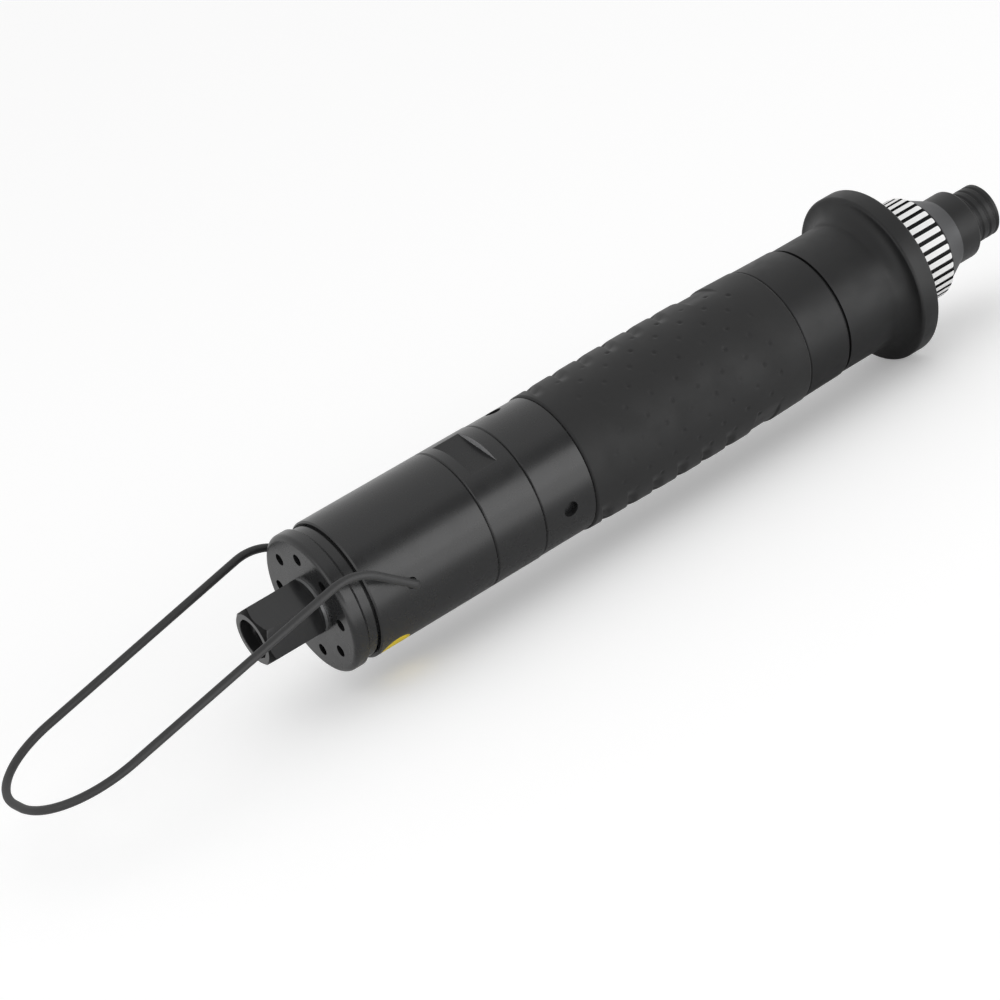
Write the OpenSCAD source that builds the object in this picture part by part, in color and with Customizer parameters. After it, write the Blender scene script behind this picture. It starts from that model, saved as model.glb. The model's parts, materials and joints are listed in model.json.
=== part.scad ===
// Straight push-to-start pneumatic screwdriver with a wire hanging bail.
// X is the tool's axis, from the air inlet's mouth at the origin to the threaded nose.
// The bail pivots about a line along Y. Angles round the axis run from -Y towards +Z.

/* [Lengths along the tool] */
// Air-inlet bushing that stands out of the end cap
inlet_len = 17.3; // [14:0.1:22]
// End cap
cap_len = 7; // [5:0.1:10]
// Rear housing
rear_len = 36.4; // [32:0.1:44]
// Ring with the wrench flats
wrench_len = 15.4; // [13:0.1:20]
// Lock ring with the spanner holes
lock_len = 16.2; // [12:0.1:20]
// Rubber grip
grip_len = 72.7; // [64:0.1:90]
// Plain band at the grip's front
band_len = 10.7; // [6:0.1:14]
// Low stretch behind that band
low_len = 8.3; // [4:0.1:12]
// Smooth sleeve between grip and guard
sleeve_len = 14; // [11:0.1:20]
// Guard collar with its flange
guard_len = 27.3; // [22:0.05:34]
// Striped torque ring
ring_len = 15.25; // [13:0.05:20]
// Cone
cone_len = 7.5; // [6:0.1:10]
// Plain nose
nose_len = 6.9; // [5:0.1:9]
// Threaded tip
thread_len = 9.35; // [7:0.05:12]

/* [Outside radii] */
// Housings
body_r = 19.1; // [18:0.1:22]
// Lock ring, below the housings
lock_step = 0.15; // [0:0.05:0.4]
// Ends of the grip, above the housings
grip_step = 0.2; // [0:0.05:0.8]
// Crown of the grip, above its ends
grip_crown = 0.5; // [0:0.05:1.5]
// Depth of the grip's low stretch behind its front band
grip_low = 0.45; // [0.2:0.05:0.8]
// Front end of the smooth sleeve, below the housings
sleeve_step = 0.25; // [0:0.05:0.6]
// Guard collar behind its flange, below the housings
collar_step = 0.55; // [0.3:0.05:1]
// Finger flange, above the housings
flange_rise = 5.1; // [3:0.1:8]
// Torque ring
ring_r = 14.85; // [14:0.05:16]
// Rear edge of the cone
cone_r = 13.5; // [12.6:0.1:15]
// Nose
nose_r = 9.95; // [9:0.05:11]
// Crest of the nose thread
thread_r = 7.6; // [7.2:0.05:8.6]

/* [Walls and edges] */
// Wall of the rear housing
body_wall = 3.1; // [2.6:0.1:3.5]
// Wall of the lock ring over the housing tube
lock_wall = 1.6; // [1.3:0.05:2]
// Wall of the motor housing tube
tube_wall = 2.5; // [2:0.1:3]
// Wall of the gear housing tube
gear_wall = 2; // [1.6:0.1:2.4]
// Wall of the torque ring
ring_wall = 2.45; // [2.1:0.05:2.8]
// Wall of the guard's front tube
front_tube_wall = 1.3; // [1:0.1:1.6]
// Groove between end cap and rear housing
seam_w = 0.7; // [0.4:0.1:1.2]
// Depth of that groove
seam_depth = 1.6; // [1.2:0.1:2]
// Length of the cap's rim behind its neck
cap_rim = 3.8; // [3.2:0.1:4.6]
// Depth of that neck below the rim
neck_depth = 0.9; // [0.4:0.1:1.1]
// Chamfer where two rings meet
edge = 0.4; // [0.2:0.05:0.7]
// Rounding of the cap's rear edge
cap_round = 1.4; // [0.8:0.1:3]
// Width of the flange's rim
rim_w = 5.95; // [4:0.05:8]
// Rounding of the rim's edges
rim_round = 0.9; // [0.5:0.1:1.5]

/* [Air inlet and exhaust] */
// Across flats of the inlet hexagon
inlet_af = 14.6; // [14:0.1:17]
// Thickness of the sealing washer under the hexagon
washer_t = 1.4; // [1:0.1:2]
// Inside radius of the inlet thread
inlet_thread_r = 4.283; // [4:0.001:4.8]
// End of the inlet thread from the mouth
inlet_thread_len = 10; // [8:0.5:12]
// Radius of the counterbore at the inlet's mouth
inlet_mouth_r = 5.3; // [4.9:0.1:5.8]
// Depth of that counterbore
mouth_depth = 3; // [1:0.1:5]
// Radius of the bushing's shank
shank_r = 6.6; // [6:0.1:7.4]
// Radius of an exhaust hole
exhaust_r = 1.6; // [1:0.1:1.8]
// Wall between an exhaust hole and the cap's register
exhaust_rim = 0.8; // [0.5:0.1:1.5]
// Number of exhaust holes
exhaust_count = 8; // [4:1:10]

/* [Bail] */
// Radius of the wire
wire_r = 1.1; // [0.8:0.05:1.4]
// Radius of the pivot holes
bail_hole_r = 1.5; // [1.5:0.05:2]
// Pivot holes from the rear edge of the rear housing
bail_pivot = 11.4; // [8:0.1:16]
// Pivot holes below the tool's axis
pivot_drop = 1; // [0:0.1:3]
// Loop's end behind the pivot
bail_reach = 106.5; // [90:0.1:130]
// Side room between the housings and the loop's end
loop_room = 5.3; // [2.5:0.1:8]
// Side room at the shoulders
shoulder_room = 6.4; // [4.9:0.1:9]
// Shoulders behind the pivot
shoulder_back = 15.8; // [14:0.1:22]
// Shoulders above the pivot
shoulder_rise = 12.9; // [8:0.1:15]
// Loop's end below the pivot
bail_drop = 5.2; // [3:0.1:12]

/* [Wrench flats and spanner holes] */
// Depth of a wrench flat
flat_depth = 1.8; // [1:0.1:2.4]
// Length of a flat along the tool
flat_len = 8.1; // [6:0.1:10]
// Radius of a spanner hole
spanner_r = 2.1; // [1.5:0.1:2.5]

/* [Motor and gears] */
// Length of the cylinder
motor_len = 40; // [36:0.5:46]
// Mean wall of the cylinder
cylinder_wall = 2.95; // [2.6:0.05:3.3]
// Offset of the cylinder's bore from the rotor's axis
bore_offset = 1; // [0.6:0.1:1.4]
// Number of vanes
vane_count = 5; // [4:1:6]
// Thickness of a vane
vane_t = 1.5; // [1.2:0.1:2]
// Width of the planet gears
planet_w = 8; // [6:0.5:10]
// Rim of the ring gear outside its teeth
ring_rim = 0.9625; // [0.6:0.0125:1.2]
// Radius of a planet pin
pin_r = 1.5; // [1.2:0.1:1.7]

/* [Valve, clutch and spindle] */
// Radius of the push rod
rod_r = 1.5; // [1.2:0.1:1.6]
// Travel of the bit holder when the tool starts
push_travel = 3; // [2:0.1:3.5]
// Radius of a clutch ball
ball_r = 2; // [1.6:0.1:2.2]
// Number of clutch balls
ball_count = 6; // [3:1:8]
// Across flats of the spindle's tail
tail_af = 9; // [8:0.1:10]
// Radius of the bit holder
holder_r = 5.2; // [5:0.05:5.6]
// Across flats of the bit socket
bit_af = 6.4; // [6.35:0.01:6.6]
// Depth of the bit socket
bit_depth = 24; // [18:0.5:26]
// Wire radius of the clutch spring
clutch_wire_r = 1.1; // [0.8:0.05:1.3]
// Travel of the adjusting nut towards the rear
adjust_back = 2; // [1:0.1:2.4]
// Travel of the adjusting nut towards the front
adjust_front = 1; // [0.5:0.1:1.4]

/* [Fits] */
// Radial clearance of pieces that are screwed or pressed together
fit = 0.05; // [0.02:0.01:0.08]
// Radial clearance of pieces that turn or slide in each other
run = 0.05; // [0.02:0.01:0.1]
// Axial gap beside pieces that turn
gap = 0.3; // [0.2:0.05:0.4]

/* [Hidden] */
$fn = 96;

// Stations of the outer pieces along X
x_cap = inlet_len;
x_seam = x_cap + cap_len;
x_rear = x_seam + seam_w;
x_wrench = x_rear + rear_len;
x_lock = x_wrench + wrench_len;
x_grip = x_lock + lock_len;
x_sleeve = x_grip + grip_len;
x_guard = x_sleeve + sleeve_len;
x_ring = x_guard + guard_len;
x_cone = x_ring + ring_len;
x_nose = x_cone + cone_len;
x_thread = x_nose + nose_len;
x_tip = x_thread + thread_len;

// Bores and tubes of the housings
body_bore_r = body_r - body_wall;
lock_r = body_r - lock_step;
grip_end_r = body_r + grip_step;
sleeve_r = body_r - sleeve_step;
collar_r = body_r - collar_step;
flange_r = body_r + flange_rise;
exhaust_circle_r = body_bore_r - exhaust_r - exhaust_rim;
tube_r = body_r - lock_wall - fit;
motor_bore_r = tube_r - tube_wall;
gear_bore_r = tube_r - gear_wall;
ring_bore_r = ring_r - ring_wall;
front_tube_r = ring_bore_r - run;
front_bore_r = front_tube_r - front_tube_wall;
room_step = 1;
room_r = front_bore_r + room_step;
spigot_len = 8;

// Air inlet and valve
cap_register = 1.5;
silencer_t = 4.5;
shank_in_block = 3;
x_block = x_rear + cap_register + silencer_t;
x_chamber = x_block + shank_in_block;
chamber_r = 5.2;
chamber_len = 12;
x_seat = x_chamber + chamber_len;
seat_r = 2.4;
strainer_t = 1.4;
strainer_step = 0.2;
strainer_r = inlet_thread_r - strainer_step;
strainer_hole_r = 0.6;
air_r = 3.2;
poppet_side = 0.6;
poppet_r = chamber_r - poppet_side;
poppet_t = 1.8;
seal_t = 0.9;
seal_edge = 0.2;
seat_gap = 0.1;
x_poppet = x_seat - seat_gap - seal_t - poppet_t;
stem_r = 2;
stem_len = 3.2;
valve_wire_r = 0.4;
valve_spring_r = air_r + valve_wire_r;
exhaust_turn = -14.5;
hex_turn = -8.5;
hex_chamfer = 1.4;
hex_corner_r = inlet_af / sqrt(3);
hex_face_in = 2.2;
washer_rim = 0.2;
washer_r = inlet_af / 2 + washer_rim;

// Motor
x_motor = x_wrench - spigot_len - edge;
rear_bearing_t = 6;
rear_bearing_r = 9.5;
rear_journal_r = 4;
plate_web = 2;
x_cylinder = x_motor + rear_bearing_t + plate_web;
x_front_plate = x_cylinder + motor_len;
front_bearing_t = 5;
x_gear_case = x_front_plate + plate_web + front_bearing_t;
cylinder_r = motor_bore_r - fit;
cylinder_bore_r = cylinder_r - cylinder_wall;
rotor_r = cylinder_bore_r - bore_offset - 2 * run;
slot_floor_r = 4.8;
rod_bore_r = rod_r + gap;

// Planet gears: ring fixed, sun on the rotor
sun_teeth = 12;
planet_teeth = 12;
ring_teeth = 36;
planet_count = 3;
pressure_angle = 25;
root_f = 1.25;
tip_f = 0.9;
ring_tip_f = 0.8;
backlash = 0.1;
gear_module = (gear_bore_r - fit - ring_rim) / (ring_teeth / 2 + root_f);
planet_orbit_r = gear_module * (sun_teeth + planet_teeth) / 2;
sun_tip_r = gear_module * (sun_teeth / 2 + tip_f);
ring_tip_r = gear_module * (ring_teeth / 2 - ring_tip_f);
front_journal_r = sun_tip_r + gap;
front_bearing_ring = 5;
front_bearing_r = front_journal_r + front_bearing_ring;
gear_web = 3;
gear_web_r = gear_bore_r - gear_web;
joint_len = 10.5;
x_joint = x_gear_case + joint_len;
gear_web_t = 2;
x_ring_gear = x_joint + gear_web_t;
planet_back = 1.5;
x_planet = x_ring_gear + planet_back;
planet_front = 0.5;
x_carrier = x_planet + planet_w + planet_front;
carrier_t = 5;
carrier_room = 0.5;
carrier_r = ring_tip_r - carrier_room;
hub_r = 8;
x_carrier_bearing = x_carrier + carrier_t + gap;
carrier_bearing_t = 8;
circlip_t = 1.2;
circlip_depth = 0.8;
circlip_in = 1.4;
circlip_in_r = gear_bore_r - circlip_in;
circlip_opening = 4;
x_circlip = x_carrier_bearing + carrier_bearing_t;

// Clutch
x_driver = x_circlip + circlip_t + gap;
driver_t = 6.5;
x_driver_face = x_driver + driver_t;
clutch_gap = 2 * gap;
x_clutch_plate = x_driver_face + clutch_gap;
clutch_plate_t = 6;
clutch_room = 2.8;
clutch_r = gear_bore_r - clutch_room;
ball_circle_r = 9;
x_balls = x_driver_face + clutch_gap / 2;
driver_bore_r = 6;
x_tail = x_clutch_plate + gap;
x_hub_end = x_tail - push_travel - 3 * gap;
plate_spring_x = x_clutch_plate + clutch_plate_t;

// Torque setting
nut_back = 1.5;
nut_lug_len = 4;
nut_lug_w = 4;
lug_slot_w = nut_lug_w + 4 * run;
x_nut = x_ring - nut_back;
nut_front = 7.25;
nut_len = ring_len - nut_front;
x_lug = x_nut + nut_len - nut_lug_len;
nut_room = 1;
nut_bore_r = holder_r + nut_room;
thrust_t = 1.5;
x_thrust = x_nut - thrust_t;
spring_room = 1.75;
clutch_spring_r = front_bore_r - spring_room - clutch_wire_r;
stripe_count = 34;
stripe_groove_w = 1.1;
stripe_depth = 0.45;
ring_round = 1.2;

// Spindle, bit holder and nose
bush_wall = 1.1;
bush_r = holder_r + bush_wall;
bush_back = 0.6;
x_bush = x_cone + bush_back;
nose_lip = 4.4;
x_bush_end = x_tip - nose_lip;
stop_step = 0.5;
stop_r = bush_r + stop_step;
stop_len = 4;
x_stop = x_bush - gap - stop_len;
holder_back = 2.5;
x_holder = x_stop - push_travel - holder_back;
holder_in = 2.25;
x_holder_end = x_tip - holder_in;
shaft_step = 0.2;
shaft_r = holder_r - shaft_step;
joint_pin_r = 3;
joint_pin_len = 5.5;
hex_len = 26;
nose_room_r = stop_r + gap;
nose_round = 0.9;
spigot_room = 1;
x_nose_spigot = x_nut + nut_len + adjust_front + spigot_room;
bit_ball_r = 1;
bit_ball_in = 0.5;
ball_back = 7.2;
x_bit_ball = x_holder_end - ball_back;
clip_t = 0.45;
clip_w = 1.4;

// Outside details
bail_x = x_rear + bail_pivot;
bail_tip_in = 2.5;
bail_half_w = body_r + loop_room;
shoulder_half_w = body_r + shoulder_room;
bail_knee = 4.4;
knee_bend = 3;
shoulder_bend = 14.9;
flat_from = 3;
flat_turn = 69;
spanner_turn = -20;
spanner_count = 3;
vane_turn = 20;

// Points of an arc in a turned outline, as [radius, station]
function arc(centre, r, from, to, steps = 8) =
    [for (i = [0:steps]) let (a = from + (to - from) * i / steps) centre + r * [cos(a), sin(a)]];

// A piece turned about X from an outline of [radius, station] points
module turned(outline) rotate([0, 90, 0]) rotate_extrude() polygon(outline);

// A plain turned ring
module ring(r_in, r_out, x0, x1) turned([[r_in, x0], [r_out, x0], [r_out, x1], [r_in, x1]]);

// A turned ring whose outer edges are chamfered
module edged_ring(r_in, r_out, x0, x1, c = edge)
    turned([[r_in, x0], [r_out - c, x0], [r_out, x0 + c], [r_out, x1 - c], [r_out - c, x1], [r_in, x1]]);

// A solid round bar along X
module bar(r, x0, x1) translate([x0, 0, 0]) rotate([0, 90, 0]) cylinder(r = r, h = x1 - x0);

// A hexagonal bar along X
module hex_bar(af, x0, x1)
    translate([x0, 0, 0]) rotate([0, 90, 0]) cylinder(r = af / sqrt(3), h = x1 - x0, $fn = 6);

// Turns what points along -Y to an angle round the axis
module at_angle(a) rotate([-a, 0, 0]) children();

// Copies spread evenly round the axis
module around(count, first = 0) for (i = [0:count - 1]) at_angle(first + 360 * i / count) children();

// A hole through a wall, drilled outwards from near the axis
module radial_hole(r, x, from, to) translate([x, -from, 0]) rotate([90, 0, 0]) cylinder(r = r, h = to - from);

// A ball bearing with its two rings and the shields between them
module bearing(r_in, r_out, x, t) {
    land = (r_out - r_in) * 0.28;
    recess = 0.5;
    turned([
        [r_in, x], [r_in + land, x], [r_in + land, x + recess], [r_out - land, x + recess], [r_out - land, x],
        [r_out, x], [r_out, x + t], [r_out - land, x + t], [r_out - land, x + t - recess],
        [r_in + land, x + t - recess], [r_in + land, x + t], [r_in, x + t]
    ]);
}

// Involute gear outline: thin is what backlash takes off each tooth
function involute(a) = tan(a) * 180 / PI - a;
function half_tooth(q, base_r, at_pitch) =
    at_pitch + involute(pressure_angle) - involute(q > base_r ? acos(base_r / q) : 0);
function polar(r, a) = r * [cos(a), sin(a)];
function gear_outline(teeth, tip, root, thin, steps = 5) =
    let (
        pitch_r = gear_module * teeth / 2,
        base_r = pitch_r * cos(pressure_angle),
        at_pitch = 90 / teeth - thin / 2 / pitch_r * 180 / PI,
        tip_r = pitch_r + gear_module * tip,
        root_r = pitch_r - gear_module * root,
        first_r = max(base_r, root_r),
        radii = [for (i = [0:steps]) first_r + (tip_r - first_r) * i / steps]
    )
    [for (k = [0:teeth - 1], p = concat(
        [polar(root_r, 360 / teeth * k - half_tooth(first_r, base_r, at_pitch))],
        [for (q = radii) polar(q, 360 / teeth * k - half_tooth(q, base_r, at_pitch))],
        [for (i = [steps:-1:0]) polar(radii[i], 360 / teeth * k + half_tooth(radii[i], base_r, at_pitch))],
        [polar(root_r, 360 / teeth * k + half_tooth(first_r, base_r, at_pitch))]
    )) p];

module spur(teeth, tip, root, thin, x0, x1)
    translate([x0, 0, 0]) rotate([0, 90, 0]) linear_extrude(x1 - x0)
        polygon(gear_outline(teeth, tip, root, thin));

// Puts a child at one planet's place, and the planets lie 120 degrees apart from -Z
module at_planet(i) rotate([-360 / planet_count * i, 0, 0]) translate([0, 0, -planet_orbit_r]) children();

// A round wire along points, with one bend radius for each corner
function unit(v) = v / norm(v);
function turn_at(p, i) = acos(unit(p[i] - p[i - 1]) * unit(p[i + 1] - p[i]));
function bend_centre(p, bend, i) =
    p[i] + unit(unit(p[i + 1] - p[i]) - unit(p[i] - p[i - 1])) * bend / cos(turn_at(p, i) / 2);
function bend_start(p, bend, i) =
    let (u = unit(p[i] - p[i - 1])) unit(p[i] - u * bend * tan(turn_at(p, i) / 2) - bend_centre(p, bend, i));
function bend_steps(p, i) = ceil(turn_at(p, i) / 9);

// Stations along the wire as [point, direction]
function wire_stations(p, bends) = concat(
    [[p[0], unit(p[1] - p[0])]],
    [for (i = [1:len(p) - 2], k = [0:bend_steps(p, i)])
        let (
            a = turn_at(p, i) * k / bend_steps(p, i),
            r = bends[i - 1],
            s = bend_start(p, r, i),
            u = unit(p[i] - p[i - 1])
        )
        [bend_centre(p, r, i) + r * (cos(a) * s + sin(a) * u), cos(a) * u - sin(a) * s]],
    [[p[len(p) - 1], unit(p[len(p) - 1] - p[len(p) - 2])]]
);

// Side direction carried from station to station without twist
function square_to(n, t) = unit(n - (n * t) * t);
function carried(stations, first) =
    [for (i = 0, n = square_to(first, stations[0][1]); i < len(stations);
        i = i + 1, n = i < len(stations) ? square_to(n, stations[i][1]) : n) n];

module wire(r, p, bends, sides = 12) {
    stations = wire_stations(p, bends);
    normals = carried(stations, [0, 0, 1]);
    n = len(stations);
    points = [for (i = [0:n - 1], s = [0:sides - 1])
        let (a = 360 * s / sides, v = normals[i])
        stations[i][0] + r * (cos(a) * v + sin(a) * cross(stations[i][1], v))];
    quads = [for (i = [0:n - 2], s = [0:sides - 1])
        [i * sides + s, (i + 1) * sides + s, (i + 1) * sides + (s + 1) % sides, i * sides + (s + 1) % sides]];
    first_end = [for (s = [0:sides - 1]) s];
    last_end = [for (s = [sides - 1:-1:0]) (n - 1) * sides + s];
    polyhedron(points, concat([first_end], quads, [last_end]));
}

// A coil spring along X with closed ends, swept with few sides
module coil(r, wire, x0, x1, turns, sides = 6, steps = 14) {
    n = turns * steps;
    closed = 1.2;
    first = x0 + wire;
    last = x1 - wire;
    pitch = 2 * wire * 1.1;
    function lift(t) =
        t < closed ? first + pitch * t
        : t > turns - closed ? last - pitch * (turns - t)
        : first + pitch * closed + (last - first - 2 * pitch * closed) * (t - closed) / (turns - 2 * closed);
    points = [for (i = [0:n], s = [0:sides - 1])
        let (a = 360 * i / steps, q = r + wire * cos(360 * s / sides))
        [lift(i / steps) + wire * sin(360 * s / sides), q * cos(a), q * sin(a)]];
    quads = [for (i = [0:n - 1], s = [0:sides - 1])
        [i * sides + s, i * sides + (s + 1) % sides, (i + 1) * sides + (s + 1) % sides, (i + 1) * sides + s]];
    first_end = [for (s = [sides - 1:-1:0]) s];
    last_end = [for (s = [0:sides - 1]) n * sides + s];
    polyhedron(points, concat([first_end], quads, [last_end]));
}

// Rear end: inlet, cap and rear housing

module inlet_bushing() color("#2b2c2e") difference() {
    union() {
        intersection() {
            at_angle(hex_turn) hex_bar(inlet_af, 0, x_cap - washer_t);
            turned([
                [0, 0], [hex_corner_r - hex_face_in, 0], [hex_corner_r + fit, hex_chamfer],
                [hex_corner_r + fit, x_cap - washer_t], [0, x_cap - washer_t]
            ]);
        }
        bar(shank_r, x_cap - washer_t, x_chamber);
    }
    bar(inlet_mouth_r, -1, mouth_depth);
    bar(inlet_thread_r, 0, inlet_thread_len);
    bar(strainer_r, 1, inlet_thread_len + strainer_t);
    bar(air_r, 1, x_chamber + 1);
}

module inlet_washer() color("#55585b") ring(shank_r + fit, washer_r, x_cap - washer_t, x_cap);

module inlet_strainer() color("#9a9c9e") difference() {
    bar(strainer_r - fit, inlet_thread_len, inlet_thread_len + strainer_t);
    around(6) strainer_hole(strainer_r * 0.55);
    strainer_hole(0);
}

// One hole of the strainer, beside the axis
module strainer_hole(off)
    translate([0, -off, 0]) bar(strainer_hole_r, inlet_thread_len - 1, inlet_thread_len + strainer_t + 1);

module end_cap() color("#303133") difference() {
    turned(concat(
        [[shank_r + fit, x_cap]],
        arc([body_r - cap_round, x_cap + cap_round], cap_round, -90, 0),
        [
            [body_r, x_cap + cap_rim], [body_r - neck_depth, x_cap + cap_rim + neck_depth],
            [body_r - neck_depth, x_seam], [body_r - seam_depth, x_seam],
            [body_r - seam_depth, x_rear], [body_bore_r - fit, x_rear],
            [body_bore_r - fit, x_rear + cap_register], [shank_r + fit, x_rear + cap_register]
        ]
    ));
    exhaust_holes(x_cap - 1, x_rear + cap_register + 1);
}

// Exhaust holes through the cap, and passages through the valve block in line with them
module exhaust_holes(x0, x1)
    around(exhaust_count, exhaust_turn) translate([0, -exhaust_circle_r, 0]) bar(exhaust_r, x0, x1);

module silencer() color("#8a6d3f") ring(shank_r + fit, body_bore_r - 3 * fit, x_rear + cap_register, x_block);

module rear_housing() color("#2e2f31") difference() {
    turned([
        [body_bore_r, x_rear], [body_r - edge, x_rear], [body_r, x_rear + edge],
        [body_r, x_wrench - edge], [body_r - edge, x_wrench], [body_bore_r, x_wrench]
    ]);
    translate([bail_x, 0, -pivot_drop]) rotate([90, 0, 0])
        cylinder(r = bail_hole_r, h = 2 * body_r + 2, center = true);
}

// Path of the bail from one pivot hole round the loop to the other
bail_side = [
    [bail_x, -(body_r - bail_tip_in), -pivot_drop],
    [bail_x, -(body_r + bail_knee), -pivot_drop],
    [bail_x - shoulder_back, -shoulder_half_w, shoulder_rise - pivot_drop],
    [bail_x - bail_reach, -bail_half_w, -bail_drop - pivot_drop]
];
bail_path = concat(bail_side, [for (i = [3:-1:0]) [bail_side[i].x, -bail_side[i].y, bail_side[i].z]]);
loop_flat = 1.5;
loop_bend = bail_half_w - loop_flat;

module bail() color("#2c2c2d")
    wire(wire_r, bail_path, [knee_bend, shoulder_bend, loop_bend, loop_bend, shoulder_bend, knee_bend]);

// Start valve

module valve_block() color("#8f9194") difference() {
    bar(body_bore_r - fit, x_block, x_motor);
    bar(shank_r + fit, x_block - 1, x_chamber);
    bar(chamber_r, x_chamber - 1, x_seat);
    bar(seat_r, x_seat - 1, x_motor + 1);
    exhaust_holes(x_block - 1, x_motor + 1);
}

module valve_poppet() color("#b08d4a") union() {
    bar(poppet_r, x_poppet, x_poppet + poppet_t);
    bar(stem_r, x_poppet - stem_len, x_poppet);
}

module valve_seal() color("#1d1d1e")
    ring(rod_r + gap, poppet_r - seal_edge, x_poppet + poppet_t, x_seat - seat_gap);

module valve_spring() color("#c9cbcd") coil(valve_spring_r, valve_wire_r, x_chamber, x_poppet, 6);

module push_rod() color("#c0c2c4") bar(rod_r, x_poppet + poppet_t, x_tail);

// Motor

module motor_housing() color("#2e2f31") difference() {
    turned([
        [motor_bore_r, x_motor], [body_bore_r - fit, x_motor], [body_bore_r - fit, x_wrench],
        [body_r - edge, x_wrench], [body_r, x_wrench + edge],
        [body_r, x_lock - edge], [body_r - edge, x_lock],
        [tube_r, x_lock], [tube_r, x_joint], [motor_bore_r, x_joint]
    ]);
    around(2, flat_turn) translate([x_wrench + flat_from, -body_r - 1, -body_r])
        cube([flat_len, 1 + flat_depth, 2 * body_r]);
}

module rear_end_plate() color("#a8aaad") difference() {
    bar(cylinder_r, x_motor, x_cylinder);
    bar(rear_bearing_r, x_motor - 1, x_motor + rear_bearing_t);
    bar(rear_journal_r + 1, x_motor, x_cylinder + 1);
}

module rear_bearing() color("#c6c8ca") bearing(rear_journal_r + run, rear_bearing_r, x_motor, rear_bearing_t);

module cylinder_liner_bore(x0, x1) translate([0, 0, bore_offset]) bar(cylinder_bore_r, x0, x1);

module cylinder_body() {
    port_w = motor_len / 10;
    difference() {
        bar(cylinder_r, x_cylinder, x_front_plate);
        cylinder_liner_bore(x_cylinder - 1, x_front_plate + 1);
        for (i = [-1:1])
            translate([x_cylinder + motor_len * (0.5 + 0.22 * i) - port_w / 2, -cylinder_r - 1, -3])
                cube([port_w, cylinder_wall + 3, 6]);
    }
}

module motor_cylinder() color("#9fa1a4") cylinder_body();

module rotor() color("#b4b6b9") difference() {
    union() {
        bar(rear_journal_r, x_motor + gap, x_cylinder + 2 * run);
        bar(rotor_r, x_cylinder + 2 * run, x_front_plate - 2 * run);
        bar(front_journal_r, x_front_plate - 2 * run, x_gear_case + gap);
        spur(sun_teeth, tip_f, root_f, backlash / 2, x_gear_case, x_carrier - gap);
    }
    bar(rod_bore_r, x_motor, x_carrier);
    around(vane_count, vane_turn) translate([x_cylinder, -rotor_r - 1, -vane_t / 2 - run])
        cube([motor_len, rotor_r + 1 - slot_floor_r, vane_t + 2 * run]);
}

module vanes() color("#6b4a2a") around(vane_count, vane_turn)
    translate([x_cylinder + 4 * run, -rotor_r, -vane_t / 2])
        cube([motor_len - 8 * run, rotor_r - slot_floor_r - 2 * run, vane_t]);

module front_end_plate() color("#a8aaad") difference() {
    bar(cylinder_r, x_front_plate, x_gear_case);
    bar(front_bearing_r, x_front_plate + plate_web, x_gear_case + 1);
    bar(front_journal_r + 1, x_front_plate - 1, x_gear_case);
}

module front_bearing() color("#c6c8ca")
    bearing(front_journal_r + run, front_bearing_r, x_front_plate + plate_web, front_bearing_t);

// Lock ring and grip over the housing tubes

module lock_ring() color("#303133") difference() {
    edged_ring(tube_r + fit, lock_r, x_lock, x_grip);
    around(spanner_count, spanner_turn) radial_hole(spanner_r, (x_lock + x_grip) / 2, tube_r - 1, body_r + 1);
}

// Radius of the grip's crowned outline at a station
function crown(x) = grip_end_r + grip_crown * (1 - pow(2 * (x - x_grip) / grip_len - 1, 2));

module grip_sleeve() color("#3a3a3a") {
    steps = 12;
    x_band = x_sleeve - band_len;
    x_low = x_band - low_len;
    padded = [for (i = [0:steps]) x_grip + edge + (x_low - x_grip - edge) * i / steps];
    turned(concat(
        [[tube_r + fit, x_grip], [grip_end_r - edge, x_grip]],
        [for (x = padded) [crown(x), x]],
        [
            [crown(x_low) - grip_low, x_low + grip_low], [crown(x_band) - grip_low, x_band - grip_low],
            [crown(x_band), x_band], [grip_end_r, x_sleeve - edge], [grip_end_r - edge, x_sleeve],
            [tube_r + fit, x_sleeve]
        ]
    ));
}

// Gear stage

module gear_housing() color("#2e2f31") difference() {
    turned([
        [gear_web_r, x_gear_case], [motor_bore_r - fit, x_gear_case], [motor_bore_r - fit, x_joint],
        [tube_r, x_joint], [tube_r, x_sleeve], [body_r - edge, x_sleeve], [body_r, x_sleeve + edge],
        [sleeve_r, x_guard - edge], [sleeve_r - edge, x_guard], [gear_bore_r, x_guard],
        [gear_bore_r, x_ring_gear], [gear_web_r, x_ring_gear]
    ]);
    ring(gear_bore_r - 1, gear_bore_r + circlip_depth, x_circlip, x_circlip + circlip_t);
}

module ring_gear() color("#8e9093") difference() {
    bar(gear_bore_r - fit, x_ring_gear, x_carrier_bearing);
    rotate([180 / ring_teeth, 0, 0])
        spur(ring_teeth, root_f, ring_tip_f, -backlash / 2, x_ring_gear - 1, x_carrier_bearing + 1);
}

module planet_gear(i) color("#b9bbbd") at_planet(i) difference() {
    rotate([180 / planet_teeth, 0, 0])
        spur(planet_teeth, tip_f, root_f, backlash / 2, x_planet, x_planet + planet_w);
    bar(pin_r + run, x_planet - 1, x_planet + planet_w + 1);
}

module planet_gear_1() planet_gear(0);
module planet_gear_2() planet_gear(1);
module planet_gear_3() planet_gear(2);

module planet_pins() color("#d0d2d4") for (i = [0:planet_count - 1])
    at_planet(i) bar(pin_r, x_planet - gap, x_carrier + carrier_t);

module carrier() color("#a2a4a7") difference() {
    union() {
        bar(carrier_r, x_carrier, x_carrier + carrier_t);
        bar(hub_r, x_carrier + carrier_t, x_driver);
        bar(driver_bore_r, x_driver, x_hub_end);
    }
    bar(rod_bore_r, x_carrier - 1, x_hub_end + 1);
    for (i = [0:planet_count - 1]) at_planet(i) bar(pin_r, x_carrier - 1, x_carrier + carrier_t);
}

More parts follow.
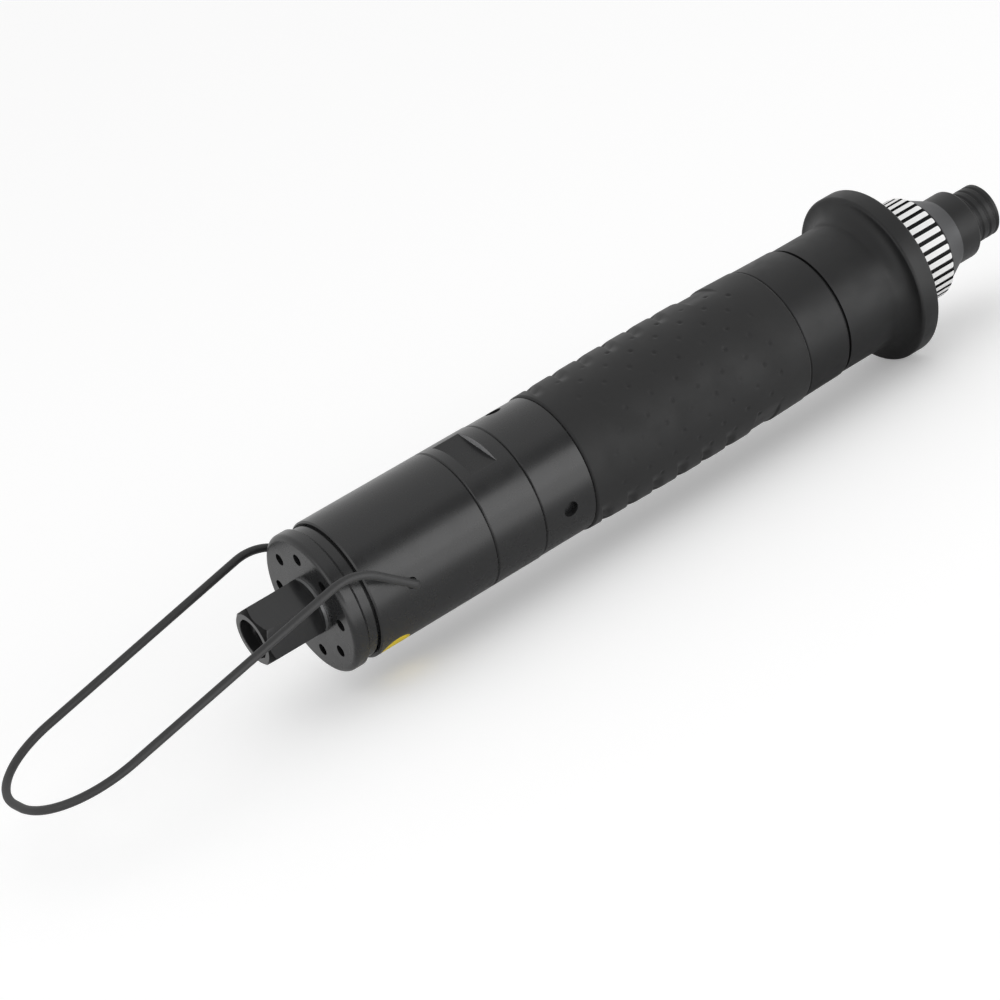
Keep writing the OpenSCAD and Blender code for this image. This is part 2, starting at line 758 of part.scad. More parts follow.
module carrier_bearing() color("#c6c8ca")
    bearing(hub_r + run, gear_bore_r - fit, x_carrier_bearing, carrier_bearing_t);

module bearing_circlip() color("#7b7d80") difference() {
    ring(circlip_in_r, gear_bore_r + circlip_depth - fit, x_circlip, x_circlip + circlip_t);
    translate([x_circlip - 1, -gear_bore_r - 2, -circlip_opening / 2])
        cube([circlip_t + 2, 5, circlip_opening]);
}

// Clutch

module ball_row(r) around(ball_count) translate([x_balls, -ball_circle_r, 0]) sphere(r = r, $fn = 48);

module clutch_driver() color("#9a9c9f") difference() {
    ring(driver_bore_r, clutch_r, x_driver, x_driver_face);
    ball_row(ball_r + run);
}

module clutch_balls() color("#d4d6d8") ball_row(ball_r);

module clutch_plate() color("#9a9c9f") difference() {
    bar(clutch_r, x_clutch_plate, plate_spring_x);
    hex_bar(tail_af + 2 * run, x_clutch_plate - 1, plate_spring_x + 1);
    ball_row(ball_r + run);
}

module clutch_spring() color("#6f7275") coil(clutch_spring_r, clutch_wire_r, plate_spring_x, x_thrust, 9);

module thrust_washer() color("#c0c2c4") ring(nut_bore_r, front_bore_r - 3 * run, x_thrust, x_nut);

module adjusting_nut() color("#b08d4a") difference() {
    union() {
        bar(front_bore_r - run, x_nut, x_nut + nut_len);
        intersection() {
            bar(front_tube_r - run, x_lug, x_lug + nut_lug_len);
            around(2, 90) translate([x_lug, -front_tube_r - 1, -nut_lug_w / 2])
                cube([nut_lug_len, 3 * front_tube_wall, nut_lug_w]);
        }
    }
    bar(nut_bore_r, x_nut - 1, x_nut + nut_len + 1);
}

// Front end

module guard_collar() color("#303133") {
    flare = flange_r - rim_round - collar_r;
    x_rim = x_ring - rim_w;
    step_room = 1.5;
    x_step = x_thrust - adjust_back - step_room;
    difference() {
        turned(concat(
            [
                [room_r, x_guard - spigot_len], [gear_bore_r - fit, x_guard - spigot_len],
                [gear_bore_r - fit, x_guard], [collar_r - edge, x_guard], [collar_r, x_guard + edge]
            ],
            arc([collar_r + flare, x_rim - flare], flare, 180, 90),
            arc([flange_r - rim_round, x_rim + rim_round], rim_round, -90, 0),
            arc([flange_r - rim_round, x_ring - rim_round], rim_round, 0, 90),
            [
                [front_tube_r, x_ring], [front_tube_r, x_cone], [front_bore_r, x_cone],
                [front_bore_r, x_step], [room_r, x_step - room_step]
            ]
        ));
        around(2, 90) translate([x_lug - adjust_back - gap, -front_tube_r - 1, -lug_slot_w / 2])
            cube([nut_lug_len + adjust_back + adjust_front + 2 * gap, 3 * front_tube_wall, lug_slot_w]);
    }
}

module torque_ring() color("#e8e8e6") difference() {
    turned(concat(
        [[ring_bore_r, x_ring + gap], [ring_r - edge, x_ring + gap], [ring_r, x_ring + gap + edge]],
        arc([ring_r - ring_round, x_cone - gap - ring_round], ring_round, 0, 90, 6),
        [[ring_bore_r, x_cone - gap]]
    ));
    around(stripe_count) translate([x_ring, -ring_r - 1, -stripe_groove_w / 2])
        cube([ring_len, 1 + stripe_depth, stripe_groove_w]);
}

module nose_piece() color("#4a4b4d") turned(concat(
    [
        [nose_room_r, x_nose_spigot], [front_bore_r - fit, x_nose_spigot], [front_bore_r - fit, x_cone],
        [cone_r - edge, x_cone], [cone_r, x_cone + edge], [nose_r, x_nose]
    ],
    arc([nose_r - nose_round, x_thread - nose_round], nose_round, 0, 90, 5),
    [
        [thread_r, x_thread], [thread_r, x_tip - edge], [thread_r - edge, x_tip],
        [holder_r + gap, x_tip], [holder_r + gap, x_bush_end], [bush_r + fit, x_bush_end],
        [bush_r + fit, x_bush], [nose_room_r, x_bush]
    ]
));

module nose_bushing() color("#b08d4a") ring(holder_r + run, bush_r, x_bush, x_bush_end);

module spindle() color("#aeb0b3") union() {
    hex_bar(tail_af, x_tail, x_tail + hex_len);
    bar(shaft_r, x_tail + hex_len, x_holder);
    bar(joint_pin_r, x_holder, x_holder + joint_pin_len);
}

module bit_holder() color("#55575a") difference() {
    union() {
        bar(holder_r, x_holder, x_holder_end);
        bar(stop_r, x_stop, x_stop + stop_len);
    }
    bar(joint_pin_r + fit, x_holder - 1, x_holder + joint_pin_len);
    hex_bar(bit_af, x_holder_end - bit_depth, x_holder_end + 1);
    radial_hole(bit_ball_r + run, x_bit_ball, 0, holder_r + 1);
    ring(clip_in_r, holder_r + 1, x_bit_ball - clip_w / 2 - fit, x_bit_ball + clip_w / 2 + fit);
}

// The ball stands a little into the socket, and the clip holds it from outside
ball_seat_r = bit_af / 2 - bit_ball_in + bit_ball_r;
clip_in_r = holder_r - clip_t - fit;

module bit_ball() color("#d4d6d8") translate([x_bit_ball, -min(ball_seat_r, clip_in_r - bit_ball_r), 0])
    sphere(r = bit_ball_r, $fn = 48);

module retaining_clip() color("#7b7d80") difference() {
    ring(clip_in_r, holder_r - fit, x_bit_ball - clip_w / 2, x_bit_ball + clip_w / 2);
    translate([x_bit_ball - clip_w, 0, -1]) cube([2 * clip_w, holder_r + 1, 2]);
}

inlet_bushing();
inlet_washer();
inlet_strainer();
end_cap();
silencer();
rear_housing();
bail();
valve_block();
valve_poppet();
valve_seal();
valve_spring();
push_rod();
motor_housing();
rear_end_plate();
rear_bearing();
motor_cylinder();  // cylinder
rotor();
vanes();
front_end_plate();
front_bearing();
lock_ring();
grip_sleeve();
gear_housing();
ring_gear();
planet_gear_1();
planet_gear_2();
planet_gear_3();
planet_pins();
carrier();
carrier_bearing();
bearing_circlip();
clutch_driver();
clutch_balls();
clutch_plate();
clutch_spring();
thrust_washer();
adjusting_nut();
guard_collar();
torque_ring();
nose_piece();
nose_bushing();
spindle();
bit_holder();
bit_ball();
retaining_clip();
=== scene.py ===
import bmesh
import bpy
import json
import math
from mathutils import Matrix, Vector


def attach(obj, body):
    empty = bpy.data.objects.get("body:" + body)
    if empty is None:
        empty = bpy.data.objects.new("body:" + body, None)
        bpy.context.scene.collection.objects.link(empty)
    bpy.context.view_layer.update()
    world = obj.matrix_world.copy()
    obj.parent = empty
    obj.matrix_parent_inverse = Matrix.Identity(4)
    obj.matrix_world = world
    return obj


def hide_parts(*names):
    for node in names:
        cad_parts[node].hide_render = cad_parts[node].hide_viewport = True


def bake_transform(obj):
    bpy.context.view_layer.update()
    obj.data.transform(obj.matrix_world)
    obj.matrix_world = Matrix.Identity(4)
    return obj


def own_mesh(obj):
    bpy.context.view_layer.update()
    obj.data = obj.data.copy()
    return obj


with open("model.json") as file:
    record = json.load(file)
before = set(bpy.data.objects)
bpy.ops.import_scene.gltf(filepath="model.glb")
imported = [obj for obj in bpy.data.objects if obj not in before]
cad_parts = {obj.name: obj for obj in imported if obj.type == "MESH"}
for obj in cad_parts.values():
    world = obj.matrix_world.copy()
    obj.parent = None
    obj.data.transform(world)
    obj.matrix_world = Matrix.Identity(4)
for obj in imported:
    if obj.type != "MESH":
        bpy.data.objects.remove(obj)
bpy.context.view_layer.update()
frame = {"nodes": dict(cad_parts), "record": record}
nodes = frame["nodes"]
scene = bpy.context.scene
scene.view_settings.view_transform = "Standard"
mm = 0.001
near = 0.01  # millimetres; points closer than this are at the same place
turnedWeld, wireWeld = 0.00000005, 0.0000001  # metres; points closer than this are one
print("frame loaded,", len(nodes), "solids")


# nodes of a finish: sockets are linked, plain values are set
def addNode(tree, kind, *feeds, **settings):
    node = tree.nodes.new("ShaderNode" + kind)
    for key, value in settings.items():
        setattr(node, key, value)
    for place, feed in enumerate(feeds):
        if isinstance(feed, bpy.types.NodeSocket):
            tree.links.new(feed, node.inputs[place])
        elif feed is not None:
            node.inputs[place].default_value = feed
    return node


def calc(tree, operation, first, second=None):
    return addNode(tree, "Math", first, second, operation=operation).outputs[0]


def startFinish(name, look):
    finish = bpy.data.materials.new(name)
    finish.use_nodes = True
    tree = finish.node_tree
    shader = tree.nodes["Principled BSDF"]
    shader.inputs["Base Color"].default_value = (*look["color"], 1)
    shader.inputs["Roughness"].default_value = look["rough"]
    shader.inputs["Metallic"].default_value = look.get("metal", 0)
    shader.inputs["Specular IOR Level"].default_value = look.get("gloss", 0.5)
    shader.inputs["Sheen Weight"].default_value = look.get("sheen", 0)
    finish.diffuse_color = (*look["color"], 1)
    return finish, tree, shader


# object coordinates in millimetres, and their three parts
def millimetres(tree):
    coords = addNode(tree, "TexCoord").outputs["Object"]
    scaled = addNode(tree, "VectorMath", coords, (1 / mm,) * 3, operation="MULTIPLY").outputs[0]
    return scaled, addNode(tree, "SeparateXYZ", scaled).outputs


# distance from the tool's axis
def fromAxis(tree, parts):
    return calc(tree, "SQRT", calc(tree, "ADD", calc(tree, "POWER", parts[1], 2), calc(tree, "POWER", parts[2], 2)))


# noise stays mostly between 0.3 and 0.7
def spread(tree, value, low, high):
    return addNode(tree, "MapRange", value, 0.3, 0.7, low, high).outputs[0]


# a Mix node takes its colours at sockets 6 and 7 and gives them mixed at 2
def tint(tree, share, colorA, colorB):
    mixer = addNode(tree, "Mix", share, data_type="RGBA")
    for socket, value in ((mixer.inputs[6], colorA), (mixer.inputs[7], colorB)):
        if isinstance(value, bpy.types.NodeSocket):
            tree.links.new(value, socket)
        else:
            socket.default_value = (*value, 1)
    return mixer.outputs[2]


def shaded(color, factor):
    return tuple(c * factor for c in color)


def setBump(tree, shader, height, strength, depth):
    bump = addNode(tree, "Bump", strength, depth)
    tree.links.new(height, bump.inputs["Height"])
    tree.links.new(bump.outputs[0], shader.inputs["Normal"])


def copyFinish(name, base):
    finish = base.copy()
    finish.name = name
    return finish, finish.node_tree, finish.node_tree.nodes["Principled BSDF"]


def noise(tree, place, scale, detail, roughness):
    return addNode(tree, "TexNoise", place, None, scale, detail, roughness).outputs[0]


def average(tree, first, second):
    return calc(tree, "MULTIPLY", calc(tree, "ADD", first, second), 0.5)


# the finish's own colour, darker and lighter by its change
def varyColor(tree, shader, look, share):
    dark, light = shaded(look["color"], 1 - look["change"]), shaded(look["color"], 1 + look["change"])
    tree.links.new(tint(tree, spread(tree, share, 0, 1), dark, light), shader.inputs["Base Color"])


def varyRough(tree, shader, look, share, low, high):
    tree.links.new(spread(tree, share, look["rough"] * low, look["rough"] * high), shader.inputs["Roughness"])


# turned: noise as scale, detail and roughness; grained: as detail and roughness, with each finish's own scale
turned = {"ringNoise": (1, 3, 0.6), "cloudNoise": (0.12, 4, 0.6), "rough": (0.8, 1.25), "depth": 0.02}
grained = {"grainNoise": (5, 0.6), "cloudShare": 0.04, "cloudNoise": (3, 0.5), "rough": (0.88, 1.1)}


# metal turned in a lathe: fine rings round X, and a cloudy handling sheen
def turnedMetal(name, look):
    finish, tree, shader = startFinish(name, look)
    place, parts = millimetres(tree)
    rings = addNode(tree, "TexNoise", None, calc(tree, "MULTIPLY", parts[0], look["rings"]), *turned["ringNoise"],
                    noise_dimensions="1D").outputs[0]
    both = average(tree, rings, noise(tree, place, *turned["cloudNoise"]))
    varyColor(tree, shader, look, both)
    varyRough(tree, shader, look, both, *turned["rough"])
    setBump(tree, shader, rings, look["relief"], turned["depth"] * mm)
    return finish


# rubber, cast or coated surfaces: grain without a direction
def grainy(name, look):
    finish, tree, shader = startFinish(name, look)
    place = millimetres(tree)[0]
    grain = noise(tree, place, look["grain"], *grained["grainNoise"])
    clouds = noise(tree, place, look["grain"] * grained["cloudShare"], *grained["cloudNoise"])
    varyColor(tree, shader, look, average(tree, grain, clouds))
    varyRough(tree, shader, look, clouds, *grained["rough"])
    setBump(tree, shader, grain, look["relief"], look["depth"] * mm)
    return finish


finishes = {
    "housing": grainy("anodisedBlack", {
        "color": (0.0135, 0.0137, 0.0142), "rough": 0.27, "grain": 5, "change": 0.06, "relief": 0.02, "depth": 0.02}),
    "satin": grainy("satinBlack", {"color": (0.0105, 0.0106, 0.011), "gloss": 0.36, "rough": 0.48, "grain": 5,
                                   "change": 0.06, "relief": 0.03, "depth": 0.02}),
    "inlet": turnedMetal("inletBlack", {
        "color": (0.019, 0.0192, 0.0198), "rough": 0.15, "rings": 3, "change": 0.1, "relief": 0.03}),
    "wire": grainy("coatedWire", {
        "color": (0.024, 0.024, 0.0245), "rough": 0.55, "grain": 2.2, "change": 0.25, "relief": 0.15, "depth": 0.05}),
    "grip": grainy("mouldedRubber", {"color": (0.0155, 0.0155, 0.0157), "gloss": 0.3, "sheen": 0.1, "rough": 0.66,
                                     "grain": 3.2, "change": 0.1, "relief": 0.2, "depth": 0.05}),
    "steel": turnedMetal("groundSteel", {
        "color": (0.56, 0.57, 0.58), "rough": 0.3, "metal": 1, "rings": 9, "change": 0.12, "relief": 0.2}),
    "dark_steel": turnedMetal("oxideSteel", {
        "color": (0.09, 0.092, 0.096), "rough": 0.36, "metal": 1, "rings": 9, "change": 0.2, "relief": 0.2}),
    "light_metal": turnedMetal("millAluminium", {
        "color": (0.6, 0.61, 0.62), "rough": 0.36, "metal": 1, "rings": 5, "change": 0.1, "relief": 0.25}),
    "bronze": turnedMetal("turnedBronze", {
        "color": (0.56, 0.42, 0.2), "rough": 0.34, "metal": 1, "rings": 6, "change": 0.15, "relief": 0.2}),
    "seal": grainy("sealRubber", {
        "color": (0.02, 0.02, 0.02), "rough": 0.6, "grain": 2, "change": 0.2, "relief": 0.2, "depth": 0.05}),
    "vane": grainy("laminatedVane", {
        "color": (0.2, 0.11, 0.055), "rough": 0.5, "grain": 1.4, "change": 0.3, "relief": 0.2, "depth": 0.05}),
}

# torque ring: white lands with rounded front ends, dark in the grooves and on the front edge
ringLook = {"color": (0.97, 0.97, 0.965), "dark": (0.008, 0.008, 0.0083), "darkRough": 0.62, "darkGloss": 0.15,
            "rough": 0.42, "gloss": 0.5, "lands": 34, "radius": 14.85, "halfLand": 0.8, "landEnd": 221.5,
            "corner": 0.6, "whiteFrom": 14.3, "noise": (1.6, 4, 0.6), "dim": 0.95, "relief": 0.15, "depth": 0.03}


def stripedRing(name, look):
    finish, tree, shader = startFinish(name, look)
    place, parts = millimetres(tree)
    turn = calc(tree, "DIVIDE", calc(tree, "ARCTAN2", parts[2], parts[1]), 2 * math.pi / look["lands"])
    phase = calc(tree, "FRACT", calc(tree, "ADD", turn, 0.5))
    fromGroove = calc(tree, "ABSOLUTE", calc(tree, "SUBTRACT", phase, 0.5))
    period = 2 * math.pi * look["radius"] / look["lands"]
    fromLand = calc(tree, "MULTIPLY", calc(tree, "SUBTRACT", 0.5, fromGroove), period)
    sideOver = calc(tree, "MAXIMUM", calc(tree, "SUBTRACT", fromLand, look["halfLand"] - look["corner"]), 0)
    endOver = calc(tree, "MAXIMUM", calc(tree, "SUBTRACT", parts[0], look["landEnd"] - look["corner"]), 0)
    over = calc(tree, "SQRT", calc(tree, "ADD", calc(tree, "POWER", sideOver, 2), calc(tree, "POWER", endOver, 2)))
    inLand = calc(tree, "LESS_THAN", over, look["corner"])
    outside = calc(tree, "GREATER_THAN", fromAxis(tree, parts), look["whiteFrom"])
    white = calc(tree, "MULTIPLY", inLand, outside)
    grain = noise(tree, place, *look["noise"])
    paint = tint(tree, spread(tree, grain, 0, 1), shaded(look["color"], look["dim"]), look["color"])
    color = tint(tree, white, look["dark"], paint)
    tree.links.new(color, shader.inputs["Base Color"])
    for key, dark, land in (("Roughness", "darkRough", "rough"), ("Specular IOR Level", "darkGloss", "gloss")):
        level = addNode(tree, "MapRange", white, 0, 1, look[dark], look[land]).outputs[0]
        tree.links.new(level, shader.inputs[key])
    setBump(tree, shader, grain, look["relief"], look["depth"] * mm)
    return finish


finishes["stripes"] = stripedRing("stripedPaint", ringLook)

# nose: black with a satin grey cone; inlet washer: black with a light metal band at its edge against the end cap,
# partly a guessed bare metal and partly a painted highlight for the light arc on that edge
noseLook = {"color": (0.0105, 0.0106, 0.011), "bare": (0.11, 0.111, 0.114), "bareSpan": (215, 229.55), "gloss": 0.36,
            "rough": 0.44, "rings": 4, "change": 0.1, "relief": 0.04}
washerLook = {"color": (0.012, 0.0121, 0.0125), "bare": (0.42, 0.425, 0.43), "bareSpan": (16.6, 18), "rough": 0.42,
              "rings": 3, "change": 0.1, "relief": 0.04}


def partlyBare(name, look):
    finish = turnedMetal(name, look)
    tree = finish.node_tree
    shader = tree.nodes["Principled BSDF"]
    black = shader.inputs["Base Color"].links[0].from_socket
    station = millimetres(tree)[1][0]
    low, high = look["bareSpan"]
    onBare = calc(tree, "MULTIPLY", calc(tree, "GREATER_THAN", station, low), calc(tree, "LESS_THAN", station, high))
    tree.links.new(tint(tree, onBare, black, look["bare"]), shader.inputs["Base Color"])
    tree.links.new(onBare, shader.inputs["Metallic"])
    return finish


finishes["nose"] = partlyBare("noseBlack", noseLook)

# rear housing: the same black with a plain yellow oval where the tool has its label
labelLook = {"color": (1.0, 0.74, 0.005), "rough": 0.4, "x": 30.6, "angle": -61, "radius": 19.1, "halfLong": 4.2,
             "halfHigh": 4.0}


def labelled(name, base, look):
    finish, tree, shader = copyFinish(name, base)
    parts = millimetres(tree)[1]
    turn = calc(tree, "ARCTAN2", parts[2], calc(tree, "MULTIPLY", parts[1], -1.0))
    around = calc(tree, "MULTIPLY", calc(tree, "SUBTRACT", turn, math.radians(look["angle"])), look["radius"])
    along = calc(tree, "DIVIDE", calc(tree, "SUBTRACT", parts[0], look["x"]), look["halfLong"])
    across = calc(tree, "DIVIDE", around, look["halfHigh"])
    reach = calc(tree, "ADD", calc(tree, "POWER", along, 2.0), calc(tree, "POWER", across, 2.0))
    onLabel = calc(tree, "LESS_THAN", reach, 1.0)
    color, rough = shader.inputs["Base Color"], shader.inputs["Roughness"]
    tree.links.new(tint(tree, onLabel, color.links[0].from_socket, look["color"]), color)
    mixed = addNode(tree, "Mix", onLabel, None, rough.links[0].from_socket, look["rough"]).outputs[0]
    tree.links.new(mixed, rough)
    return finish


# motor housing: its two wrench flats are milled dull; their end walls carry a light grey painted highlight, for the
# bright room that the real sloped walls reflect
flatLook = {"angle": 69, "height": 17.3, "span": (64.4, 72.5), "radius": 19.1, "margin": 0.03, "gloss": (0.5, 0.28),
            "wall": (0.29, 0.29, 0.295)}


def milledFlats(name, base, look):
    finish, tree, shader = copyFinish(name, base)
    parts = millimetres(tree)[1]
    turn = math.radians(look["angle"])
    height = calc(tree, "ABSOLUTE", calc(tree, "SUBTRACT", calc(tree, "MULTIPLY", parts[2], math.sin(turn)),
                                         calc(tree, "MULTIPLY", parts[1], math.cos(turn))))
    inCut = calc(tree, "MULTIPLY", calc(tree, "GREATER_THAN", height, look["height"] - look["margin"]),
                 calc(tree, "LESS_THAN", fromAxis(tree, parts), look["radius"] - look["margin"]))
    onFlat = calc(tree, "MULTIPLY", inCut, calc(tree, "LESS_THAN", height, look["height"] + look["margin"]))
    gloss = addNode(tree, "MapRange", onFlat, 0, 1, *look["gloss"]).outputs[0]
    tree.links.new(gloss, shader.inputs["Specular IOR Level"])
    fromWalls = [calc(tree, "ABSOLUTE", calc(tree, "SUBTRACT", parts[0], x)) for x in look["span"]]
    atWall = calc(tree, "LESS_THAN", calc(tree, "MINIMUM", *fromWalls), look["margin"])
    # the end walls are painted light grey: a painted highlight, not their own colour
    color = shader.inputs["Base Color"]
    onWallHighlight = calc(tree, "MULTIPLY", inCut, atWall)
    tree.links.new(tint(tree, onWallHighlight, color.links[0].from_socket, look["wall"]), color)
    return finish


slotOf = {part["node"]: part["material_slot"] for part in frame["record"]["subparts"]}
for name, solid in nodes.items():
    solid.data.materials.clear()
    solid.data.materials.append(finishes[slotOf[name]])
    solid.data.polygons.foreach_set("material_index", [0] * len(solid.data.polygons))
nodes["rear_housing"].data.materials[0] = labelled("labelledBlack", finishes["housing"], labelLook)
nodes["motor_housing"].data.materials[0] = milledFlats("milledBlackLitWalls", finishes["housing"], flatLook)
nodes["gear_housing"].data.materials[0] = finishes["satin"]
# the washer's light metal band stands in, in part, as a painted highlight on its edge
nodes["inlet_washer"].data.materials[0] = partlyBare("washerEdgeHighlight", washerLook)
print("finishes set on the solids")


# station, radius and angle of a point round the tool's axis, in millimetres and degrees
def aroundAxis(point):
    return point.x / mm, math.hypot(point.y, point.z) / mm, math.degrees(math.atan2(point.z, -point.y))


def scaleRadius(vert, factor):
    vert.co.y *= factor
    vert.co.z *= factor


# a mesh turned round X from a closed line of (station, radius) points in millimetres
def turnedMesh(points, steps):
    bm = bmesh.new()
    verts = [bm.verts.new((x * mm, -r * mm, 0)) for x, r in points]
    edges = [bm.edges.new(pair) for pair in zip(verts, verts[1:] + verts[:1])]
    bmesh.ops.spin(bm, geom=verts + edges, cent=(0, 0, 0), axis=(1, 0, 0), angle=2 * math.pi, steps=steps,
                   use_merge=True)
    bmesh.ops.remove_doubles(bm, verts=bm.verts, dist=turnedWeld)
    bmesh.ops.recalc_face_normals(bm, faces=bm.faces)
    return bm


# a piece without a body is blended between two bodies afterwards
def placePiece(bm, name, body, finish, node, sharp):
    mesh = bpy.data.meshes.new(name)
    bm.to_mesh(mesh)
    bm.free()
    mesh.polygons.foreach_set("use_smooth", [True] * len(mesh.polygons))
    mesh.set_sharp_from_angle(angle=math.radians(sharp))
    mesh.materials.append(finish)
    piece = bpy.data.objects.new(name, mesh)
    scene.collection.objects.link(piece)
    if body:
        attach(piece, body)
    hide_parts(node)
    print("made", name, len(mesh.polygons), "faces")
    return piece


def ease(value, low, high):
    share = min(1, max(0, (value - low) / (high - low)))
    return share * share * (3 - 2 * share)


# rubber grip: grooves across its two sides, small pits in staggered rows between them, a plain front band
grip = {"from": 93.0, "to": 165.7, "boreRadius": 17.5, "endRadius": 19.3, "crownRise": 0.5, "edge": 0.4,
        "bandFrom": 155.0, "bandStep": 0.5, "lowFrom": 146.7, "lowStep": 0.7, "low": 0.45, "firstGroove": 97.5,
        "pitch": 8.27, "grooves": 6, "grooveBack": 0.8, "grooveFront": 3.0, "grooveFloor": 0.15, "grooveDepth": 1.0,
        "lean": 0.25, "leanAngle": 88, "faceAngle": 21.5, "grooveFade": (54, 70), "rows": 28, "firstRow": -22.6,
        "firstPit": 101.6, "pitRadius": 0.85, "pitFloor": 0.2, "pitDepth": 0.32, "pitFrom": 98.0, "pitTo": 157.0,
        "pitFade": (100, 121), "pitFaint": 0.4, "pitMean": 0.8, "pitSpread": 0.3, "pitSeed": (7.3, 3.1),
        "perRow": 12, "stations": 242, "sharp": 60}


def gripRadius(look, x, angle):
    share = (x - look["from"]) / (look["to"] - look["from"])
    radius = look["endRadius"] + look["crownRise"] * (1 - (2 * share - 1) ** 2)
    lowered = ease(x, look["lowFrom"] - look["lowStep"], look["lowFrom"])
    banded = ease(x, look["bandFrom"] - look["bandStep"], look["bandFrom"])
    fromFace = abs((angle - look["faceAngle"] + 180) % 360 - 180)
    side = ease(fromFace, *look["grooveFade"]) * ease(180 - fromFace, *look["grooveFade"])
    radius -= look["low"] * lowered * (1 - banded) * side
    leaning = math.radians(min(fromFace, 180 - fromFace) - look["leanAngle"])
    first = look["firstGroove"] + look["lean"] * radius * leaning
    nearest = math.floor((x - first + look["grooveBack"]) / look["pitch"])
    off = x - first - nearest * look["pitch"]
    if 0 <= nearest < look["grooves"]:
        reach = -off / look["grooveBack"] if off < 0 else off / look["grooveFront"]
        radius -= look["grooveDepth"] * side * (1 - ease(reach, look["grooveFloor"], 1))
    row = round((angle - look["firstRow"]) / (360 / look["rows"]))
    first = look["firstPit"] + (row % 2) * look["pitch"] / 2
    column = round((x - first) / look["pitch"])
    along = x - first - column * look["pitch"]
    across = math.radians(angle - look["firstRow"] - row * 360 / look["rows"]) * radius
    pit = 1 - ease(math.hypot(along, across) / look["pitRadius"], look["pitFloor"], 1)
    inField = look["pitFrom"] < x - along < look["pitTo"]
    rowSeed, columnSeed = look["pitSeed"]  # the depth varies from pit to pit
    uneven = look["pitMean"] + look["pitSpread"] * math.sin(rowSeed * row + columnSeed * column)
    faded = look["pitFaint"] + (1 - look["pitFaint"]) * ease(x - along, *look["pitFade"])
    return radius - look["pitDepth"] * uneven * faded * pit * (1 - side) * inField


def gripMesh(look):
    span = look["to"] - look["from"] - 2 * look["edge"]
    outer = [(look["from"] + look["edge"] + span * i / look["stations"], look["endRadius"])
             for i in range(look["stations"] + 1)]
    profile = [(look["from"], look["boreRadius"]), (look["from"], look["endRadius"] - look["edge"]), *outer,
               (look["to"], look["endRadius"] - look["edge"]), (look["to"], look["boreRadius"])]
    bm = turnedMesh(profile, look["rows"] * look["perRow"])
    for vert in bm.verts:
        x, radius, angle = aroundAxis(vert.co)
        if radius > look["endRadius"] - near:
            scaleRadius(vert, gripRadius(look, x, angle) / radius)
    bmesh.ops.recalc_face_normals(bm, faces=bm.faces)
    return bm


placePiece(gripMesh(grip), "gripPads", "body", finishes["grip"], "grip_sleeve", grip["sharp"])

# air inlet: chamfered hexagon with its thread cut inside as a helix
inlet = {"steps": 120, "turn": 21.5, "flats": 14.6, "hexRows": (4, 8, 12), "hexTo": 15.9, "shank": 6.6,
         "shankTo": 34.0, "chamfer": 1.4, "chamferSteps": 8, "pastCorner": 0.05, "faceRadius": 6.85,
         "threadFrom": 3.5, "threadTo": 9.6, "crest": 4.283, "root": 4.84, "pitch": 0.907, "grooveEase": (0.1, 0.85),
         "runOut": 1.0, "sample": 0.1, "mouth": 5.3, "mouthEdge": 0.15, "mouthDepth": 3.0, "strainerFrom": 10.0,
         "strainerSeat": 4.083, "strainerTo": 11.4, "air": 3.2, "sharp": 25, "chamferDarkColor": (0.006, 0.006, 0.0062),
         "gloss": (0.5, 0.08), "coneMargin": 0.04, "faceMargin": 0.06}


def chamferRise(look):
    return (look["flats"] / math.sqrt(3) + look["pastCorner"] - look["faceRadius"]) / look["chamfer"]


def inletMesh(look):
    corner = look["flats"] / math.sqrt(3)
    rise = chamferRise(look)
    slope = [look["chamfer"] * i / look["chamferSteps"] for i in range(look["chamferSteps"] + 1)]
    outer = [(0, look["mouth"] + look["mouthEdge"]), *((x, look["faceRadius"] + rise * x) for x in slope),
             *((x, corner) for x in (*look["hexRows"], look["hexTo"]))]
    span = look["threadTo"] - look["threadFrom"]
    count = round(span / look["sample"])
    thread = [(look["threadFrom"] + span * i / count, look["crest"]) for i in range(count, -1, -1)]
    mouth = [(look["mouthDepth"], look["root"]), (look["mouthDepth"], look["mouth"]),
             (look["mouthEdge"], look["mouth"])]
    profile = [*outer, (look["hexTo"], look["shank"]), (look["shankTo"], look["shank"]),
               (look["shankTo"], look["air"]), (look["strainerTo"], look["air"]),
               (look["strainerTo"], look["strainerSeat"]), (look["strainerFrom"], look["strainerSeat"]),
               (look["strainerFrom"], look["crest"]), *thread, *mouth]
    bm = turnedMesh(profile, look["steps"])
    for vert in bm.verts:
        x, radius, angle = aroundAxis(vert.co)
        wanted = radius
        if radius > look["faceRadius"] + near and x < look["hexTo"] + near:
            within = (angle + 30) % 60 - 30
            wanted = min(radius, look["flats"] / 2 / math.cos(math.radians(30 - abs(within))))
        elif abs(radius - look["crest"]) < near and x < look["threadTo"] - near:
            phase = (x / look["pitch"] + angle / 360) % 1
            groove = 1 - ease(abs(phase - 0.5) * 2, *look["grooveEase"])
            fade = 1 - ease(x, look["threadTo"] - look["runOut"], look["threadTo"])
            wanted = radius + (look["root"] - radius) * groove * fade
        scaleRadius(vert, wanted / radius)
    bmesh.ops.rotate(bm, verts=bm.verts, cent=(0, 0, 0), matrix=Matrix.Rotation(-math.radians(look["turn"]), 3, "X"))
    bmesh.ops.recalc_face_normals(bm, faces=bm.faces)
    return bm
